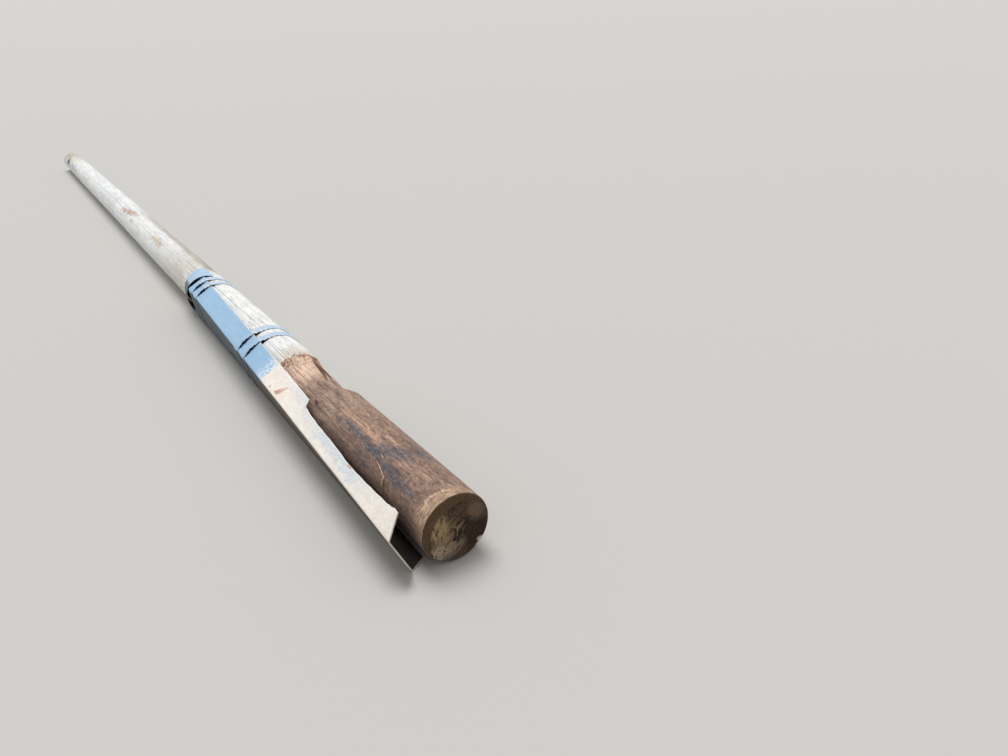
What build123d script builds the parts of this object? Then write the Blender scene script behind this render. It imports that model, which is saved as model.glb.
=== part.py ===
from build123d import *
from math import cos, radians, sin, tan
import os

# A short tapered timber utility pole lying on level ground, with the steel reinforcing
# channel that was banded to it when its wood rotted at the groundline.
# X runs along the pole from its butt to its tip, Y points to the side that carries the
# channel, and Z is up. Sizes are in millimetres, and stations are measured along X from
# the sawn butt face. The last step moves the origin to the middle of the footprint.

# Timber
pole_length = 7620.0
butt_diameter = 236.6
tip_diameter = 162.5
butt_rim_radius = 7.0
tip_rim_chamfer = 9.0
tip_bolt_hole_diameter = 20.0
tip_bolt_hole_from_tip = 281.0
tip_bolt_hole_elevation = 30.0

# Rotted neck at the groundline: wood is lost on the far upper side only
groundline_station = 1330.0
neck_upper_station = 1215.0
neck_lower_station = 945.0
shoulder_station = 880.0
neck_upper_loss = 15.0
neck_lower_loss = 25.0
neck_loss_direction = 130.0

# Steel reinforcing channel: a web with two flared flanges
channel_thickness = 5.0
channel_bend_radius = 11.0
channel_flare = 20.0
channel_seat_gap = 0.3
channel_top_station = 2605.0
channel_end_station = 37.0
channel_top_roll = 7.5
channel_end_roll = 25.0
channel_end_standoff = 60.0
upper_flange_top_width = 104.0
upper_flange_nick_width = 101.0
nick_station = 901.0
driven_flange_width = 66.0
waist_station = 440.0
waist_flange_width = 61.0
end_flange_width = 82.0
lower_flange_width = 58.0
driving_point_length = 56.0
flange_cut_length = 48.0

# Steel straps, in two pairs, with their crimped seals
strap_width = 50.0
strap_thickness = 2.0
strap_gap = 0.3
strap_corner_gap = 0.9
strap_bow = 8.0
strap_bow_radius = 70.0
flange_edge_round = 1.0
lower_strap_stations = (1575.0, 1675.0)
upper_strap_stations = (2463.0, 2553.0)
seal_thickness = 2.2
seal_lip = 2.5
seal_start_angle = 196.0
seal_sweep = 24.0

# Sheet cap over the top end of the channel
cap_thickness = 1.5
cap_gap = 0.4
cap_top_station = 2768.0
cap_corner_station = 2643.0
cap_crown_station = 2598.0
cap_crown_angle = 102.0

# What follows from the sizes above
butt_radius = butt_diameter / 2
tip_radius = tip_diameter / 2
taper = (butt_radius - tip_radius) / pole_length
strap_rest = strap_thickness + strap_gap + taper * strap_width / 2
butt_axis_height = butt_radius + strap_rest * pole_length / (pole_length - upper_strap_stations[1])
tip_axis_height = tip_radius


def pole_radius(station):
    return butt_radius - taper * station


def axis_height(station):
    return butt_axis_height + (tip_axis_height - butt_axis_height) * station / pole_length


def across(station, shift_y=0.0, shift_z=0.0):
    """The plane square to X at a station, centred on the pole's axis: its x is +Y, its y is +Z."""
    centre = (station, shift_y, axis_height(station) + shift_z)
    return Plane(origin=centre, x_dir=(0, 1, 0), z_dir=(1, 0, 0))


# The shaft is a taper with a sawn butt, a chamfered tip, a bolt hole near the tip and a
# neck where its sections shrink away from the side that rotted.
def neck_section(station, loss):
    away_y = -cos(radians(neck_loss_direction)) * loss / 2
    away_z = -sin(radians(neck_loss_direction)) * loss / 2
    return across(station, away_y, away_z), pole_radius(station) - loss / 2


shaft_sections = [
    (across(0.0), butt_radius),
    (across(shoulder_station), pole_radius(shoulder_station)),
    neck_section(neck_lower_station, neck_lower_loss),
    neck_section(neck_upper_station, neck_upper_loss),
    (across(groundline_station), pole_radius(groundline_station)),
    (across(pole_length), tip_radius),
]
bolt_hole_station = pole_length - tip_bolt_hole_from_tip
bolt_direction = (0, cos(radians(tip_bolt_hole_elevation)), sin(radians(tip_bolt_hole_elevation)))

with BuildPart() as pole_shaft:
    for section_plane, section_radius in shaft_sections:
        with BuildSketch(section_plane):
            Circle(section_radius)
    loft(ruled=True)
    end_rims = pole_shaft.edges().filter_by(GeomType.CIRCLE).sort_by(Axis.X)
    fillet(end_rims[0], butt_rim_radius)
    chamfer(end_rims[-1], tip_rim_chamfer)
    bolt_plane = Plane(
        origin=(bolt_hole_station, 0, axis_height(bolt_hole_station)),
        x_dir=(1, 0, 0),
        z_dir=bolt_direction,
    )
    with BuildSketch(bolt_plane):
        Circle(tip_bolt_hole_diameter / 2)
    extrude(amount=butt_diameter, both=True, mode=Mode.SUBTRACT)
pole_shaft.part.label = "pole_shaft"


# The channel's top end seats on the pole with its web and both flanges tangent to the wood.
# From there it runs straight to its driven end, which twisted as it was driven, stands off
# the wood and has its lower corner on the ground.
seat_radius = pole_radius(channel_top_station) + channel_seat_gap + channel_thickness
channel_web = 2 * seat_radius * tan(radians(45 - channel_flare / 2))


def outward(roll):
    return Vector(0, cos(radians(roll)), -sin(radians(roll)))


def upward(roll):
    return Vector(0, sin(radians(roll)), cos(radians(roll)))


top_centre = Vector(0, 0, axis_height(channel_top_station))
top_corner = (
    top_centre
    + outward(channel_top_roll) * seat_radius
    + upward(channel_top_roll) * (channel_web / 2)
)
end_reach = pole_radius(channel_end_station) + channel_end_standoff + channel_thickness
end_centre = Vector(0, 0, axis_height(channel_end_station))
end_web_line = end_centre + outward(channel_end_roll) * end_reach
bend_setback = channel_bend_radius * tan(radians(45 - channel_flare / 2))
bend_rise = (
    channel_bend_radius * sin(radians(channel_end_roll))
    + bend_setback * cos(radians(channel_end_roll))
    - channel_bend_radius
)
end_drop = (end_web_line.Z + bend_rise) / cos(radians(channel_end_roll))
end_corner = end_web_line + upward(channel_end_roll) * (channel_web - end_drop)


def channel_share(station):
    return (station - channel_top_station) / (channel_end_station - channel_top_station)


def channel_roll(station):
    return channel_top_roll + (channel_end_roll - channel_top_roll) * channel_share(station)


def channel_plane(station):
    """The plane across the channel, at its upper outer corner: x points outward, y up the web."""
    corner = top_corner + (end_corner - top_corner) * channel_share(station)
    corner = Vector(station, corner.Y, corner.Z)
    return Plane(origin=corner, x_dir=outward(channel_roll(station)), z_dir=(1, 0, 0))


def channel_section(upper_width, lower_width):
    """The flared C as points of its outer line and of its inner line, from the upper flange's edge."""
    back = -cos(radians(channel_flare))
    rise = sin(radians(channel_flare))
    inner = channel_thickness * tan(radians(45 - channel_flare / 2))
    upper_edge = Vector(back * upper_width, rise * upper_width)
    lower_edge = Vector(back * lower_width, -channel_web - rise * lower_width)
    outer_line = [upper_edge, (0, 0), (0, -channel_web), lower_edge]
    inner_line = [
        upper_edge + Vector(-rise, back) * channel_thickness,
        (-channel_thickness, -inner),
        (-channel_thickness, -channel_web + inner),
        lower_edge + Vector(-rise, -back) * channel_thickness,
    ]
    return outer_line, inner_line


def channel_profile(upper_width, lower_width):
    outer_line, inner_line = channel_section(upper_width, lower_width)
    with BuildSketch() as profile:
        with BuildLine():
            FilletPolyline(*outer_line, radius=channel_bend_radius)
            FilletPolyline(*inner_line, radius=channel_bend_radius - channel_thickness)
            Line(outer_line[0], inner_line[0])
            Line(outer_line[-1], inner_line[-1])
        make_face()
    return profile.sketch


# The blank runs past the driven end, where both flanges are cut away on a slant and the web
# is cut to a point.
blank_station = channel_end_station - 1.5 * driving_point_length
cut_margin = 40.0
cut_reach = end_flange_width + cut_margin
slant_end = flange_cut_length * cut_reach / end_flange_width
past_blank = -3 * driving_point_length

with BuildPart() as reinforcing_channel:
    for station, upper_width in (
        (channel_top_station, upper_flange_top_width),
        (nick_station, upper_flange_nick_width),
    ):
        with BuildSketch(channel_plane(station)):
            add(channel_profile(upper_width, lower_flange_width))
    loft(ruled=True)
    for station, upper_width in (
        (nick_station, driven_flange_width),
        (waist_station, waist_flange_width),
        (channel_end_station, end_flange_width),
        (blank_station, end_flange_width),
    ):
        with BuildSketch(channel_plane(station)):
            add(channel_profile(upper_width, lower_flange_width))
    loft(ruled=True)
    end_plane = channel_plane(channel_end_station)
    along_flange = Plane(
        origin=end_plane.origin - end_plane.y_dir * (channel_web / 2),
        x_dir=(1, 0, 0),
        z_dir=end_plane.y_dir,
    )
    with BuildSketch(along_flange):
        with BuildLine():
            Polyline(
                (past_blank, -channel_thickness),
                (0, -channel_thickness),
                (slant_end, -channel_thickness - cut_reach),
                (past_blank, -channel_thickness - cut_reach),
                close=True,
            )
        make_face()
    extrude(amount=channel_web, both=True, mode=Mode.SUBTRACT)
    along_web = Plane(origin=end_plane.origin, x_dir=(1, 0, 0), z_dir=-end_plane.x_dir)
    with BuildSketch(along_web):
        with BuildLine():
            Polyline(
                (0, cut_margin),
                (0, 0),
                (-driving_point_length, -channel_web / 2),
                (0, -channel_web),
                (0, -channel_web - cut_margin),
                (past_blank, -channel_web - cut_margin),
                (past_blank, cut_margin),
                close=True,
            )
        make_face()
    extrude(amount=cut_margin, both=True, mode=Mode.SUBTRACT)
reinforcing_channel.part.label = "reinforcing_channel"


# Each strap is pulled tight round the wood and the channel's corners, and bows up off the
# upper flange.
def upper_flange_width(station):
    share = (station - channel_top_station) / (nick_station - channel_top_station)
    return upper_flange_top_width + (upper_flange_nick_width - upper_flange_top_width) * share


def strap_loop(first_station, last_station, clearance, bow):
    """The convex outline round the wood and the channel from one station to the next."""
    plane = across((first_station + last_station) / 2)
    with BuildSketch() as loop:
        Circle(pole_radius(first_station) + clearance)
        for station in (first_station, last_station):
            frame = channel_plane(station)
            outer_line, inner_line = channel_section(upper_flange_width(station), lower_flange_width)
            flange_top = Vector(outer_line[0])
            supports = [
                (Vector(-channel_bend_radius, -bend_setback), channel_bend_radius),
                (Vector(-channel_bend_radius, bend_setback - channel_web), channel_bend_radius),
                (flange_top + Vector(0, -flange_edge_round), flange_edge_round),
                (Vector(outer_line[3]) + Vector(0, flange_edge_round), flange_edge_round),
            ]
            if bow:
                square_to_flange = Vector(sin(radians(channel_flare)), cos(radians(channel_flare)))
                crest = flange_top * 0.5 + square_to_flange * (bow - strap_bow_radius)
                supports.append((crest, strap_bow_radius))
            for point, radius in supports:
                placed = plane.to_local_coords(frame.from_local_coords(point))
                with Locations((placed.X, placed.Y)):
                    Circle(radius + clearance + strap_corner_gap - strap_gap)
        make_hull()
    return loop.sketch


straps = {}
for name, station in (
    ("lower_strap_near_butt", lower_strap_stations[0]),
    ("lower_strap_near_tip", lower_strap_stations[1]),
    ("upper_strap_near_butt", upper_strap_stations[0]),
    ("upper_strap_near_tip", upper_strap_stations[1]),
):
    with BuildPart() as strap:
        ends = (station - strap_width / 2, station + strap_width / 2)
        with BuildSketch(across(station)):
            add(strap_loop(*ends, strap_gap + strap_thickness, strap_bow))
            add(strap_loop(*ends, strap_gap, strap_bow), mode=Mode.SUBTRACT)
        extrude(amount=strap_width / 2, both=True)
    strap.part.label = name
    straps[name] = strap


# A crimped seal closes each strap on the far side, round the bare wood.
seals = {}
for name, station in (
    ("lower_seal_near_butt", lower_strap_stations[0]),
    ("lower_seal_near_tip", lower_strap_stations[1]),
    ("upper_seal_near_butt", upper_strap_stations[0]),
    ("upper_seal_near_tip", upper_strap_stations[1]),
):
    seal_inner = pole_radius(station - strap_width / 2) + strap_gap + strap_thickness
    with BuildPart() as seal:
        with BuildSketch(across(station)):
            with BuildLine():
                inner_arc = CenterArc((0, 0), seal_inner, seal_start_angle, seal_sweep)
                outer_arc = CenterArc((0, 0), seal_inner + seal_thickness, seal_start_angle, seal_sweep)
                Line(inner_arc @ 0, outer_arc @ 0)
                Line(inner_arc @ 1, outer_arc @ 1)
            make_face()
        extrude(amount=strap_width / 2 + seal_lip, both=True)
    seal.part.label = name
    seals[name] = seal


# The cap is a bent sheet. Its upper edge hugs the wood, and it opens towards the butt to
# cover the channel's top end, with an oblique lower edge.
with BuildPart() as channel_top_cap:
    low_station = cap_crown_station - 2 * cap_thickness
    for outline_clearance, mode in (
        (cap_gap + cap_thickness, Mode.ADD),
        (cap_gap, Mode.SUBTRACT),
    ):
        with BuildSketch(across(low_station)):
            add(strap_loop(low_station, low_station, outline_clearance, 0.0))
        with BuildSketch(across(cap_top_station)):
            Circle(pole_radius(low_station) + outline_clearance)
        loft(mode=mode)
    axis_point = Vector(cap_top_station, 0, axis_height(cap_top_station))
    kept_side = cap_crown_angle - 90
    half_wrap = Plane(
        origin=axis_point, z_dir=(0, cos(radians(kept_side)), sin(radians(kept_side)))
    )
    split(bisect_by=half_wrap, keep=Keep.TOP)
    crown_y = seat_radius * cos(radians(cap_crown_angle))
    slant = (cap_corner_station - cap_crown_station) / (top_corner.Y - crown_y)
    lower_edge = Plane(origin=(cap_crown_station, crown_y, 0), z_dir=(1, -slant, 0))
    split(bisect_by=lower_edge, keep=Keep.TOP)
channel_top_cap.part.label = "channel_top_cap"


os.makedirs("parts", exist_ok=True)
pieces = [pole_shaft, reinforcing_channel, channel_top_cap, *straps.values(), *seals.values()]
boxes = [piece.part.bounding_box() for piece in pieces]
middle_x = (min(box.min.X for box in boxes) + max(box.max.X for box in boxes)) / 2
middle_y = (min(box.min.Y for box in boxes) + max(box.max.Y for box in boxes)) / 2
lowest_z = min(box.min.Z for box in boxes)
for piece in pieces:
    print(piece.part.label, piece.part.bounding_box())
    piece.part.locate(Location((-middle_x, -middle_y, -lowest_z)))
    export_step(piece.part, f"parts/{piece.part.label}.step")
print("origin moved by", -middle_x, -middle_y, -lowest_z)
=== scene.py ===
import math
import random

import bmesh
import bpy
import numpy as np
from mathutils import Matrix, Vector


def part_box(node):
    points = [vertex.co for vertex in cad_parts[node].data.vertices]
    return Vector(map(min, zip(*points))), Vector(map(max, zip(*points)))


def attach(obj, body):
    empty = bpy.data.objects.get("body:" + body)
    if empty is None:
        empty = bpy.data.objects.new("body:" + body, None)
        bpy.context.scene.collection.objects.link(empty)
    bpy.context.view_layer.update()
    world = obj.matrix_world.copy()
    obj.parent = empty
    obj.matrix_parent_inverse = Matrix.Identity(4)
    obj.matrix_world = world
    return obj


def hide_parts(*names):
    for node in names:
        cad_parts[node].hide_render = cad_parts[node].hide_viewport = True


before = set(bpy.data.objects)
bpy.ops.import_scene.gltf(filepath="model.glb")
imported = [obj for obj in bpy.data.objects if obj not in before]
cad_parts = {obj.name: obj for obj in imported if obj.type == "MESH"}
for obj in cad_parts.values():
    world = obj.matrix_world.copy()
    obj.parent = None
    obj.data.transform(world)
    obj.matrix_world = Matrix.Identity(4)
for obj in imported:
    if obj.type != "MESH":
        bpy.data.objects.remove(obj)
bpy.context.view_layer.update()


# Timber shaft. One round log, sawn at both ends and set in the ground by its thick end. It
# stands for decades, so the wood above ground goes pale and splits along the grain, the wood
# below stays brown, and a ring of it rots away where the soil met the air.
mm = 0.001
shaft_low, shaft_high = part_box("pole_shaft")
butt_x = shaft_low.x
pole_length = shaft_high.x - butt_x
axis_y = (shaft_low.y + shaft_high.y) / 2
butt_radius = (shaft_high.y - shaft_low.y) / 2
tip_radius = 81.25 * mm
butt_axis_z = shaft_high.z - butt_radius
tip_axis_z = shaft_low.z + tip_radius
axis_fall = (butt_axis_z - tip_axis_z) / pole_length

butt_rim_radius = 7 * mm
tip_rim_radius = 9 * mm
groundline = 1305 * mm
neck_stations = np.array([865, 900, 965, 1215, 1330]) * mm
neck_losses = np.array([0, 8, 24, 15, 0]) * mm
neck_side = math.radians(130)
strap_stations = {
    "lower_strap_near_butt": 1575 * mm,
    "lower_strap_near_tip": 1675 * mm,
    "upper_strap_near_butt": 2463 * mm,
    "upper_strap_near_tip": 2553 * mm,
}


def radius_at(station):
    return butt_radius + (tip_radius - butt_radius) * station / pole_length


def axis_z_at(station):
    return butt_axis_z - axis_fall * station


def surface_waves(stations, angles, around, along, count, seed):
    """Smooth lumps, about -1 to 1. Each wave has up to so many crests round the girth, so that
    it closes there, and turns by up to so many radians in each metre along."""
    dice = random.Random(seed)
    total = np.zeros(np.broadcast(stations, angles).shape)
    for _ in range(count):
        wave = dice.randint(0, around) * angles + dice.uniform(-along, along) * stations
        total += np.cos(wave + dice.uniform(0, 2 * math.pi))
    return total / math.sqrt(count)


def even_steps(stretches):
    """Stations from stretches of (start, end, spacing), with no end given twice."""
    found = []
    for start, end, spacing in stretches:
        found.extend(np.linspace(start, end, max(2, round((end - start) / spacing)), endpoint=False))
    return np.array(found)


# Drying splits run with the grain. Each line round the log holds a few of them, one after
# the other, with a bottom and two lips.
split_lines = 16
split_dice = random.Random(11)
split_angles = [
    2 * math.pi * (k + split_dice.uniform(0.1, 0.9)) / split_lines for k in range(split_lines)
]
split_closed_width = 0.25 * mm
split_open_width = 1.3 * mm
split_open_depth = 9 * mm
lip_turn = 1e-4
plain_columns = 120
column_step = 2 * math.pi / plain_columns
column_angles = []
column_kinds = []
for k in range(plain_columns):
    angle = column_step * k
    if min(abs(angle - a) for a in split_angles) > 0.45 * column_step:
        column_angles.append(angle)
        column_kinds.append((-1, 0))
for line, angle in enumerate(split_angles):
    for side in (-1, 0, 1):
        column_angles.append(angle + side * lip_turn)
        column_kinds.append((line, side))
order = np.argsort(column_angles)
column_angles = np.array(column_angles)[order]
column_kinds = np.array(column_kinds)[order]

rows = even_steps((
    (butt_rim_radius, 60 * mm, 4 * mm),
    (60 * mm, 880 * mm, 8 * mm),
    (880 * mm, 1360 * mm, 4.5 * mm),
    (1360 * mm, pole_length - 60 * mm, 20 * mm),
    (pole_length - 60 * mm, pole_length - tip_rim_radius, 5 * mm),
))
stations = rows[:, None]

split_open = np.zeros((len(rows), split_lines))
for line in range(split_lines):
    start = split_dice.uniform(0.0, 0.5)
    while start < pole_length:
        run = split_dice.uniform(0.35, 1.6)
        share = np.clip((rows - start) / run, 0, 1)
        opening = np.sin(math.pi * share) ** 0.6 * split_dice.uniform(0.35, 1.0)
        split_open[:, line] = np.maximum(split_open[:, line], opening)
        start += run + split_dice.uniform(0.1, 1.2)
buried_share = 1 / (1 + np.exp((rows - groundline) / (20 * mm)))
split_open *= (1 - 0.5 * buried_share)[:, None]
split_width = split_closed_width + split_open * split_open_width
split_depth = split_open * split_open_depth

grain_sway = 0.05 * np.sin(1.1 * stations + 0.4) + 0.012 * np.sin(4.3 * stations)
wander = surface_waves(stations, column_angles[None, :], around=5, along=9.0, count=10, seed=5)
angles = column_angles[None, :] + grain_sway + wander * 0.006

depth = np.zeros_like(angles)
in_split = np.zeros_like(angles)
for column, (line, side) in enumerate(column_kinds):
    if line >= 0:
        angles[:, column] += side * split_width[:, line] / butt_radius
        if side == 0:
            depth[:, column] += split_depth[:, line]
            in_split[:, column] = split_open[:, line]

broad_lumps = 1.1 * mm
fine_lumps = 0.35 * mm
depth += broad_lumps * (1 + surface_waves(stations, angles, around=4, along=3.0, count=12, seed=1))
depth += fine_lumps * (1 + surface_waves(stations, angles, around=40, along=6.0, count=24, seed=2))

# The rotted ring: the loss is widest on the far upper side, and its floor is stringy
rot_start = 900 * mm
rot_depth = 1.6 * mm
string_height = 0.9 * mm
rag_height = 0.7 * mm
loss = np.interp(stations, neck_stations, neck_losses)
depth += loss * (1 + np.cos(angles - neck_side)) / 2
rot_band = np.clip((stations - rot_start) / (40 * mm), 0, 1)
rot_band = rot_band * np.clip((groundline - stations) / (12 * mm), 0, 1)
strings = surface_waves(stations, angles, around=70, along=10.0, count=30, seed=3)
rags = surface_waves(stations, angles, around=26, along=40.0, count=30, seed=4)
depth += rot_band * (rot_depth + string_height * strings + rag_height * rags)
depth = np.maximum(depth, 0.0)


def shaft_points(stations, radii, angles):
    y = axis_y + radii * np.cos(angles)
    z = axis_z_at(stations) + radii * np.sin(angles)
    x = butt_x + stations + 0 * radii
    return np.stack([x, y, z], axis=-1)


shaft_radii = radius_at(stations) - depth
body_points = shaft_points(stations + 0 * depth, shaft_radii, angles)
rim_turns = np.radians((22.5, 45, 67.5, 90))


def end_points(first_radii, first_angles, rim, station, face_sign, ring_count, roughness, seed):
    """Rings from the rounded rim to the middle of a sawn face, which looks along face_sign."""
    rings = []
    for turn in rim_turns:
        ring_station = station - face_sign * rim * (1 - math.sin(turn))
        radii = first_radii - rim * (1 - math.cos(turn))
        rings.append(shaft_points(ring_station + 0 * radii, radii, first_angles))
    flat = first_radii - rim
    for share in np.linspace(1, 0, ring_count + 1)[1:-1]:
        smooth = flat.mean() * share
        radii = flat * share * share + smooth * (1 - share)
        lumps = surface_waves(radii * 60, first_angles, around=6, along=3.0, count=14, seed=seed)
        sunk = roughness * np.maximum(0, 1 + lumps * min(1.0, 2 - 2 * share + 0.3))
        rings.append(shaft_points(station - face_sign * sunk, radii, first_angles))
    return rings


butt_rings = end_points(
    shaft_radii[0],
    angles[0],
    butt_rim_radius,
    0.0,
    face_sign=-1,
    ring_count=16,
    roughness=1.2 * mm,
    seed=6,
)
tip_rings = end_points(
    shaft_radii[-1],
    angles[-1],
    tip_rim_radius,
    pole_length,
    face_sign=1,
    ring_count=8,
    roughness=0.8 * mm,
    seed=7,
)


def mesh_from_rows(name, grid, caps):
    """A mesh of quads between closed rows of points. A row named in caps is closed at its middle."""
    row_count, column_count = grid.shape[:2]
    points = [tuple(p) for p in grid.reshape(-1, 3)]
    faces = []
    for i in range(row_count - 1):
        here, there = i * column_count, (i + 1) * column_count
        for j in range(column_count):
            k = (j + 1) % column_count
            faces.append((here + j, here + k, there + k, there + j))
    for row in caps:
        ring = row % row_count * column_count
        points.append(tuple(grid[row].mean(axis=0)))
        for j in range(column_count):
            k = (j + 1) % column_count
            corner = (ring + j, ring + k, len(points) - 1)
            faces.append(corner if row else corner[::-1])
    mesh = bpy.data.meshes.new(name)
    mesh.from_pydata(points, [], faces)
    mesh.update()
    return mesh


def piece_from_mesh(name, mesh, sharp_angle):
    """A named object of the mesh, smooth but for edges that turn more than the sharp angle."""
    mesh.shade_smooth()
    mesh.set_sharp_from_angle(angle=math.radians(sharp_angle))
    piece = bpy.data.objects.new(name, mesh)
    bpy.context.scene.collection.objects.link(piece)
    return piece


def mark_points(mesh, name, values):
    """A value for each point of the mesh, under a name that its material reads."""
    mesh.attributes.new(name, "FLOAT", "POINT").data.foreach_set("value", np.ravel(values))


all_rows = np.stack([*butt_rings[::-1], *body_points, *tip_rings])
shaft_mesh = mesh_from_rows("timber_shaft", all_rows, caps=(0, -1))
timber_shaft = piece_from_mesh("timber_shaft", shaft_mesh, 40)
marks = np.zeros(len(shaft_mesh.vertices))
first_body = len(butt_rings) * len(column_angles)
marks[first_body : first_body + in_split.size] = in_split.ravel()
mark_points(shaft_mesh, "split_mark", marks)


def srgb(red, green, blue):
    """A colour as seen, 0 to 255, turned into the light values that shaders use."""
    linear = [
        v / 12.92 if v <= 0.04045 else ((v + 0.055) / 1.055) ** 2.4
        for v in (red / 255, green / 255, blue / 255)
    ]
    return (*linear, 1.0)


class Shade:
    """A number, colour or place that changes over a surface. Sums and products place math nodes."""

    def __init__(self, socket):
        self.socket = socket
        self.tree = socket.id_data

    def __add__(self, other):
        return calc("ADD", self, other)

    def __sub__(self, other):
        return calc("SUBTRACT", self, other)

    def __rsub__(self, other):
        return calc("SUBTRACT", other, self)

    def __mul__(self, other):
        return calc("MULTIPLY", self, other)

    def __truediv__(self, other):
        return calc("DIVIDE", self, other)

    def __rtruediv__(self, other):
        return calc("DIVIDE", other, self)

    def __abs__(self):
        return calc("ABSOLUTE", self)


def feed(value, socket):
    """A shade is linked to the input socket, and a plain value is set there."""
    if isinstance(value, Shade):
        value.tree.links.new(value.socket, socket)
    else:
        socket.default_value = value


def add_node(tree, kind, inputs=None, **properties):
    """A node with its properties set and its inputs, by name or number, fed."""
    node = tree.nodes.new(kind)
    for name, value in properties.items():
        setattr(node, name, value)
    for name, value in (inputs or {}).items():
        feed(value, node.inputs[name])
    return node


def attribute(tree, name):
    return Shade(add_node(tree, "ShaderNodeAttribute", attribute_name=name).outputs["Fac"])


def calc(operation, *values):
    tree = next(value.tree for value in values if isinstance(value, Shade))
    node = add_node(tree, "ShaderNodeMath", dict(enumerate(values)), operation=operation)
    return Shade(node.outputs[0])


def distance(first, second):
    return calc("SQRT", first * first + second * second)


def blend(mask, first, second):
    """The first colour where the mask is 0, the second where it is 1."""
    node = add_node(mask.tree, "ShaderNodeMix", {0: mask}, data_type="RGBA")
    feed(first, node.inputs[6])
    feed(second, node.inputs[7])
    return Shade(node.outputs[2])


def ramp(value, low, high, to_low=0.0, to_high=1.0):
    """Values from low to high spread smoothly over a new range, and held at its ends."""
    ends = {"Value": value, "From Min": low, "From Max": high, "To Min": to_low, "To Max": to_high}
    node = add_node(value.tree, "ShaderNodeMapRange", ends, interpolation_type="SMOOTHSTEP")
    return Shade(node.outputs[0])


def between(value, rise, full, fade, end):
    """1 from full to fade, and 0 below the rise and above the end."""
    return ramp(value, rise, full) * ramp(value, end, fade)


def noise(where, scale, detail, roughness=0.5, distortion=0.0, seed=None):
    """Smooth noise, about 0.3 to 0.7. Each seed gives another pattern."""
    inputs = {"Vector": where, "Scale": scale, "Detail": detail, "Roughness": roughness}
    inputs["Distortion"] = distortion
    if seed is not None:
        inputs["W"] = seed
    dimensions = "3D" if seed is None else "4D"
    node = add_node(where.tree, "ShaderNodeTexNoise", inputs, noise_dimensions=dimensions)
    return Shade(node.outputs[0])


def joined_up(tree, *parts):
    """A place made of its X, Y and Z."""
    return Shade(add_node(tree, "ShaderNodeCombineXYZ", dict(zip("XYZ", parts))).outputs[0])


def split_up(where):
    return [Shade(part) for part in add_node(where.tree, "ShaderNodeSeparateXYZ", {0: where}).outputs]


def stretch(where, *factors):
    """A place with its X, Y and Z multiplied by factors of their own."""
    inputs = {0: where, 1: joined_up(where.tree, *factors)}
    return Shade(add_node(where.tree, "ShaderNodeVectorMath", inputs, operation="MULTIPLY").outputs[0])


def vary(colour, pattern, dark, light):
    """The colour made darker where the pattern is low and lighter where it is high."""
    colour = blend(ramp(pattern, 0.50, 0.34) * dark, colour, srgb(0, 0, 0))
    return blend(ramp(pattern, 0.50, 0.66) * light, colour, srgb(240, 226, 210))


def emboss(shader, height, strength, depth):
    """A bump of the height, at most about the depth deep, on the shader's surface."""
    inputs = {"Height": height, "Strength": strength, "Distance": depth}
    feed(Shade(add_node(height.tree, "ShaderNodeBump", inputs).outputs[0]), shader.inputs["Normal"])


def new_group(name, inputs, outputs):
    """An empty shader group, its given shades and its results to feed. An input of None is a place."""
    group = bpy.data.node_groups.new(name, "ShaderNodeTree")
    for label, value in inputs.items():
        kind = "NodeSocketVector" if value is None else "NodeSocketFloat"
        socket = group.interface.new_socket(label, in_out="INPUT", socket_type=kind)
        if value is not None:
            socket.default_value = value
    for label, kind in outputs.items():
        group.interface.new_socket(label, in_out="OUTPUT", socket_type="NodeSocket" + kind)
    given = {socket.name: Shade(socket) for socket in group.nodes.new("NodeGroupInput").outputs}
    return group, given, group.nodes.new("NodeGroupOutput").inputs


def place(group, where, **values):
    """A group's result, given where on the log it is and its own values, with _ for a space."""
    node = add_node(where["Position"].tree, "ShaderNodeGroup", node_tree=group)
    given = {**where, **{name.replace("_", " "): value for name, value in values.items()}}
    for socket in node.inputs:
        if socket.name in given:
            feed(given[socket.name], socket)
    return Shade(node.outputs[0])


def new_material(name):
    material = bpy.data.materials.new(name)
    material.use_nodes = True
    return material, material.node_tree, material.node_tree.nodes["Principled BSDF"]


def dress(shader, colour, roughness, **values):
    """The shader gets its colour, its roughness and other values by name, with _ for a space."""
    values = {"Base Color": colour, "Roughness": roughness, **values}
    for name, value in values.items():
        feed(value, shader.inputs[name.replace("_", " ")])


# Where a point lies on the log: its station from the butt, and its angle round it in degrees,
# from 0 on the channel's side upward
log_place, given, result = new_group(
    "log_place",
    {"Butt X": 0.0, "Axis Y": 0.0, "Axis Z": 0.0, "Axis Fall": 0.0},
    {"Station": "Float", "Angle": "Float", "Position": "Vector"},
)
position = Shade(add_node(log_place, "ShaderNodeTexCoord").outputs["Object"])
along, across, height = split_up(position)
station = along - given["Butt X"]
above = height - (given["Axis Z"] - given["Axis Fall"] * station)
beside = across - given["Axis Y"]
feed(station, result["Station"])
feed(calc("DEGREES", calc("ARCTAN2", above, beside)), result["Angle"])
feed(position, result["Position"])

# Streaks along the grain, from broad to fine
grain, given, result = new_group(
    "grain", {"Position": None, "Length": 0.3, "Width": 0.01, "Seed": 0.0}, {"Streaks": "Float"}
)
squeezed = stretch(given["Position"], 1.0 / given["Length"], 1.0 / given["Width"], 1.0 / given["Width"])
feed(noise(squeezed, scale=1.0, detail=3.0, roughness=0.6, seed=given["Seed"]), result["Streaks"])

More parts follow.
